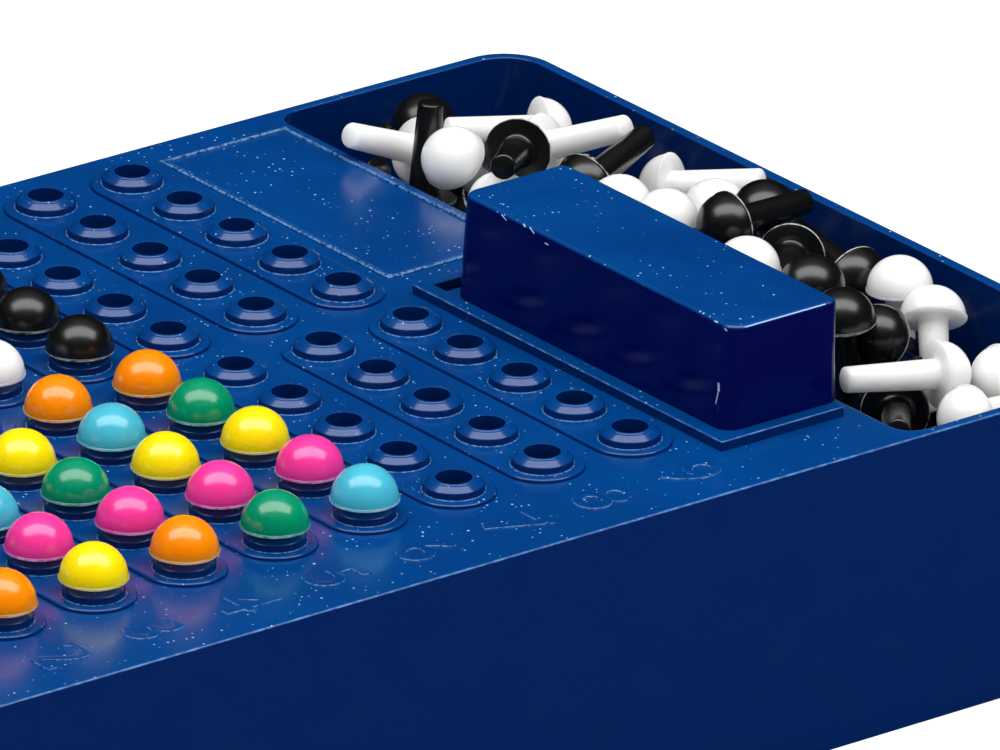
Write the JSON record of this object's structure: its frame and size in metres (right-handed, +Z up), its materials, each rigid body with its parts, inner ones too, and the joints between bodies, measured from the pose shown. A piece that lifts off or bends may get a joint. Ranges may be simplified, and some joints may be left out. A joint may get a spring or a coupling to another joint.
{
  "type": "code breaking peg game",
  "caption": "Moulded blue peg board with numbered rows, a lift-off code shield, storage trays and mushroom-shaped pegs.",
  "frame": {"origin": "centre of the footprint, on the surface that the board stands on", "axes": "+X along the row numbers towards the code shield, +Y across the board from the numbered margin to the key holes, +Z up"},
  "size_m": [0.2096, 0.123, 0.0493],
  "materials": {
    "board_blue": "moulded, semi-gloss",
    "shield_blue": "moulded, semi-gloss",
    "peg_orange": "moulded, glossy",
    "peg_yellow": "moulded, glossy",
    "peg_pink": "moulded, glossy",
    "peg_green": "moulded, glossy",
    "peg_cyan": "moulded, glossy",
    "peg_blue": "moulded, glossy",
    "peg_black": "moulded, glossy",
    "peg_white": "moulded, glossy"
  },
  "bodies": {
    "root": {"board": "board_blue", "end_tray_peg_1_white": "peg_white", "end_tray_peg_2_black": "peg_black", "end_tray_peg_3_white": "peg_white", "end_tray_peg_4_black": "peg_black", "end_tray_peg_5_white": "peg_white", "end_tray_peg_6_black": "peg_black", "start_tray_peg_1_green": "peg_green", "start_tray_peg_2_yellow": "peg_yellow", "start_tray_peg_3_orange": "peg_orange", "start_tray_peg_4_cyan": "peg_cyan", "start_tray_peg_5_pink": "peg_pink", "start_tray_peg_6_blue": "peg_blue"},
    "code_peg_row1_1_green": {"code_peg_row1_1_green": "peg_green"},
    "code_peg_row1_2_orange": {"code_peg_row1_2_orange": "peg_orange"},
    "code_peg_row1_3_blue": {"code_peg_row1_3_blue": "peg_blue"},
    "code_peg_row1_4_pink": {"code_peg_row1_4_pink": "peg_pink"},
    "code_peg_row1_5_yellow": {"code_peg_row1_5_yellow": "peg_yellow"},
    "code_peg_row2_1_orange": {"code_peg_row2_1_orange": "peg_orange"},
    "code_peg_row2_2_cyan": {"code_peg_row2_2_cyan": "peg_cyan"},
    "code_peg_row2_3_yellow": {"code_peg_row2_3_yellow": "peg_yellow"},
    "code_peg_row2_4_blue": {"code_peg_row2_4_blue": "peg_blue"},
    "code_peg_row2_5_green": {"code_peg_row2_5_green": "peg_green"},
    "code_peg_row3_1_yellow": {"code_peg_row3_1_yellow": "peg_yellow"},
    "code_peg_row3_2_pink": {"code_peg_row3_2_pink": "peg_pink"},
    "code_peg_row3_3_cyan": {"code_peg_row3_3_cyan": "peg_cyan"},
    "code_peg_row3_4_orange": {"code_peg_row3_4_orange": "peg_orange"},
    "code_peg_row3_5_blue": {"code_peg_row3_5_blue": "peg_blue"},
    "code_peg_row4_1_orange": {"code_peg_row4_1_orange": "peg_orange"},
    "code_peg_row4_2_pink": {"code_peg_row4_2_pink": "peg_pink"},
    "code_peg_row4_3_green": {"code_peg_row4_3_green": "peg_green"},
    "code_peg_row4_4_yellow": {"code_peg_row4_4_yellow": "peg_yellow"},
    "code_peg_row4_5_blue": {"code_peg_row4_5_blue": "peg_blue"},
    "code_peg_row5_1_green": {"code_peg_row5_1_green": "peg_green"},
    "code_peg_row5_2_pink": {"code_peg_row5_2_pink": "peg_pink"},
    "code_peg_row5_3_yellow": {"code_peg_row5_3_yellow": "peg_yellow"},
    "code_peg_row5_4_cyan": {"code_peg_row5_4_cyan": "peg_cyan"},
    "code_peg_row5_5_orange": {"code_peg_row5_5_orange": "peg_orange"},
    "code_peg_row6_1_cyan": {"code_peg_row6_1_cyan": "peg_cyan"},
    "code_peg_row6_2_pink": {"code_peg_row6_2_pink": "peg_pink"},
    "code_peg_row6_3_yellow": {"code_peg_row6_3_yellow": "peg_yellow"},
    "code_peg_row6_4_green": {"code_peg_row6_4_green": "peg_green"},
    "code_peg_row6_5_orange": {"code_peg_row6_5_orange": "peg_orange"},
    "code_shield": {"code_shield": "shield_blue"},
    "key_peg_row1_1_white": {"key_peg_row1_1_white": "peg_white"},
    "key_peg_row2_1_black": {"key_peg_row2_1_black": "peg_black"},
    "key_peg_row3_1_white": {"key_peg_row3_1_white": "peg_white"},
    "key_peg_row3_2_white": {"key_peg_row3_2_white": "peg_white"},
    "key_peg_row4_1_black": {"key_peg_row4_1_black": "peg_black"},
    "key_peg_row4_2_white": {"key_peg_row4_2_white": "peg_white"},
    "key_peg_row5_1_white": {"key_peg_row5_1_white": "peg_white"},
    "key_peg_row5_2_black": {"key_peg_row5_2_black": "peg_black"},
    "key_peg_row6_1_black": {"key_peg_row6_1_black": "peg_black"},
    "key_peg_row6_2_black": {"key_peg_row6_2_black": "peg_black"},
    "key_peg_row6_3_black": {"key_peg_row6_3_black": "peg_black"},
    "secret_peg_1_pink": {"secret_peg_1_pink": "peg_pink"},
    "secret_peg_2_yellow": {"secret_peg_2_yellow": "peg_yellow"},
    "secret_peg_3_green": {"secret_peg_3_green": "peg_green"},
    "secret_peg_4_cyan": {"secret_peg_4_cyan": "peg_cyan"},
    "secret_peg_5_orange": {"secret_peg_5_orange": "peg_orange"}
  },
  "joints": [
    {"name": "code_peg_row1_1_pull", "type": "slide", "parent": "root", "child": "code_peg_row1_1_green", "axis": [0, 0, 1], "range_m": [0, 0.014]},
    {"name": "code_peg_row1_2_pull", "type": "slide", "parent": "root", "child": "code_peg_row1_2_orange", "axis": [0, 0, 1], "range_m": [0, 0.014]},
    {"name": "code_peg_row1_3_pull", "type": "slide", "parent": "root", "child": "code_peg_row1_3_blue", "axis": [0, 0, 1], "range_m": [0, 0.014]},
    {"name": "code_peg_row1_4_pull", "type": "slide", "parent": "root", "child": "code_peg_row1_4_pink", "axis": [0, 0, 1], "range_m": [0, 0.014]},
    {"name": "code_peg_row1_5_pull", "type": "slide", "parent": "root", "child": "code_peg_row1_5_yellow", "axis": [0, 0, 1], "range_m": [0, 0.014]},
    {"name": "code_peg_row2_1_pull", "type": "slide", "parent": "root", "child": "code_peg_row2_1_orange", "axis": [0, 0, 1], "range_m": [0, 0.014]},
    {"name": "code_peg_row2_2_pull", "type": "slide", "parent": "root", "child": "code_peg_row2_2_cyan", "axis": [0, 0, 1], "range_m": [0, 0.014]},
    {"name": "code_peg_row2_3_pull", "type": "slide", "parent": "root", "child": "code_peg_row2_3_yellow", "axis": [0, 0, 1], "range_m": [0, 0.014]},
    {"name": "code_peg_row2_4_pull", "type": "slide", "parent": "root", "child": "code_peg_row2_4_blue", "axis": [0, 0, 1], "range_m": [0, 0.014]},
    {"name": "code_peg_row2_5_pull", "type": "slide", "parent": "root", "child": "code_peg_row2_5_green", "axis": [0, 0, 1], "range_m": [0, 0.014]},
    {"name": "code_peg_row3_1_pull", "type": "slide", "parent": "root", "child": "code_peg_row3_1_yellow", "axis": [0, 0, 1], "range_m": [0, 0.014]},
    {"name": "code_peg_row3_2_pull", "type": "slide", "parent": "root", "child": "code_peg_row3_2_pink", "axis": [0, 0, 1], "range_m": [0, 0.014]},
    {"name": "code_peg_row3_3_pull", "type": "slide", "parent": "root", "child": "code_peg_row3_3_cyan", "axis": [0, 0, 1], "range_m": [0, 0.014]},
    {"name": "code_peg_row3_4_pull", "type": "slide", "parent": "root", "child": "code_peg_row3_4_orange", "axis": [0, 0, 1], "range_m": [0, 0.014]},
    {"name": "code_peg_row3_5_pull", "type": "slide", "parent": "root", "child": "code_peg_row3_5_blue", "axis": [0, 0, 1], "range_m": [0, 0.014]},
    {"name": "code_peg_row4_1_pull", "type": "slide", "parent": "root", "child": "code_peg_row4_1_orange", "axis": [0, 0, 1], "range_m": [0, 0.014]},
    {"name": "code_peg_row4_2_pull", "type": "slide", "parent": "root", "child": "code_peg_row4_2_pink", "axis": [0, 0, 1], "range_m": [0, 0.014]},
    {"name": "code_peg_row4_3_pull", "type": "slide", "parent": "root", "child": "code_peg_row4_3_green", "axis": [0, 0, 1], "range_m": [0, 0.014]},
    {"name": "code_peg_row4_4_pull", "type": "slide", "parent": "root", "child": "code_peg_row4_4_yellow", "axis": [0, 0, 1], "range_m": [0, 0.014]},
    {"name": "code_peg_row4_5_pull", "type": "slide", "parent": "root", "child": "code_peg_row4_5_blue", "axis": [0, 0, 1], "range_m": [0, 0.014]},
    {"name": "code_peg_row5_1_pull", "type": "slide", "parent": "root", "child": "code_peg_row5_1_green", "axis": [0, 0, 1], "range_m": [0, 0.014]},
    {"name": "code_peg_row5_2_pull", "type": "slide", "parent": "root", "child": "code_peg_row5_2_pink", "axis": [0, 0, 1], "range_m": [0, 0.014]},
    {"name": "code_peg_row5_3_pull", "type": "slide", "parent": "root", "child": "code_peg_row5_3_yellow", "axis": [0, 0, 1], "range_m": [0, 0.014]},
    {"name": "code_peg_row5_4_pull", "type": "slide", "parent": "root", "child": "code_peg_row5_4_cyan", "axis": [0, 0, 1], "range_m": [0, 0.014]},
    {"name": "code_peg_row5_5_pull", "type": "slide", "parent": "root", "child": "code_peg_row5_5_orange", "axis": [0, 0, 1], "range_m": [0, 0.014]},
    {"name": "code_peg_row6_1_pull", "type": "slide", "parent": "root", "child": "code_peg_row6_1_cyan", "axis": [0, 0, 1], "range_m": [0, 0.014]},
    {"name": "code_peg_row6_2_pull", "type": "slide", "parent": "root", "child": "code_peg_row6_2_pink", "axis": [0, 0, 1], "range_m": [0, 0.014]},
    {"name": "code_peg_row6_3_pull", "type": "slide", "parent": "root", "child": "code_peg_row6_3_yellow", "axis": [0, 0, 1], "range_m": [0, 0.014]},
    {"name": "code_peg_row6_4_pull", "type": "slide", "parent": "root", "child": "code_peg_row6_4_green", "axis": [0, 0, 1], "range_m": [0, 0.014]},
    {"name": "code_peg_row6_5_pull", "type": "slide", "parent": "root", "child": "code_peg_row6_5_orange", "axis": [0, 0, 1], "range_m": [0, 0.014]},
    {"name": "shield_lift", "type": "slide", "parent": "root", "child": "code_shield", "axis": [0, 0, 1], "range_m": [0, 0.02]},
    {"name": "key_peg_row1_1_pull", "type": "slide", "parent": "root", "child": "key_peg_row1_1_white", "axis": [0, 0, 1], "range_m": [0, 0.014]},
    {"name": "key_peg_row2_1_pull", "type": "slide", "parent": "root", "child": "key_peg_row2_1_black", "axis": [0, 0, 1], "range_m": [0, 0.014]},
    {"name": "key_peg_row3_1_pull", "type": "slide", "parent": "root", "child": "key_peg_row3_1_white", "axis": [0, 0, 1], "range_m": [0, 0.014]},
    {"name": "key_peg_row3_2_pull", "type": "slide", "parent": "root", "child": "key_peg_row3_2_white", "axis": [0, 0, 1], "range_m": [0, 0.014]},
    {"name": "key_peg_row4_1_pull", "type": "slide", "parent": "root", "child": "key_peg_row4_1_black", "axis": [0, 0, 1], "range_m": [0, 0.014]},
    {"name": "key_peg_row4_2_pull", "type": "slide", "parent": "root", "child": "key_peg_row4_2_white", "axis": [0, 0, 1], "range_m": [0, 0.014]},
    {"name": "key_peg_row5_1_pull", "type": "slide", "parent": "root", "child": "key_peg_row5_1_white", "axis": [0, 0, 1], "range_m": [0, 0.014]},
    {"name": "key_peg_row5_2_pull", "type": "slide", "parent": "root", "child": "key_peg_row5_2_black", "axis": [0, 0, 1], "range_m": [0, 0.014]},
    {"name": "key_peg_row6_1_pull", "type": "slide", "parent": "root", "child": "key_peg_row6_1_black", "axis": [0, 0, 1], "range_m": [0, 0.014]},
    {"name": "key_peg_row6_2_pull", "type": "slide", "parent": "root", "child": "key_peg_row6_2_black", "axis": [0, 0, 1], "range_m": [0, 0.014]},
    {"name": "key_peg_row6_3_pull", "type": "slide", "parent": "root", "child": "key_peg_row6_3_black", "axis": [0, 0, 1], "range_m": [0, 0.014]},
    {"name": "secret_peg_1_lift", "type": "slide", "parent": "root", "child": "secret_peg_1_pink", "axis": [0, 0, 1], "range_m": [0, 0.0055]},
    {"name": "secret_peg_2_lift", "type": "slide", "parent": "root", "child": "secret_peg_2_yellow", "axis": [0, 0, 1], "range_m": [0, 0.0055]},
    {"name": "secret_peg_3_lift", "type": "slide", "parent": "root", "child": "secret_peg_3_green", "axis": [0, 0, 1], "range_m": [0, 0.0055]},
    {"name": "secret_peg_4_lift", "type": "slide", "parent": "root", "child": "secret_peg_4_cyan", "axis": [0, 0, 1], "range_m": [0, 0.0055]},
    {"name": "secret_peg_5_lift", "type": "slide", "parent": "root", "child": "secret_peg_5_orange", "axis": [0, 0, 1], "range_m": [0, 0.0055]}
  ]
}
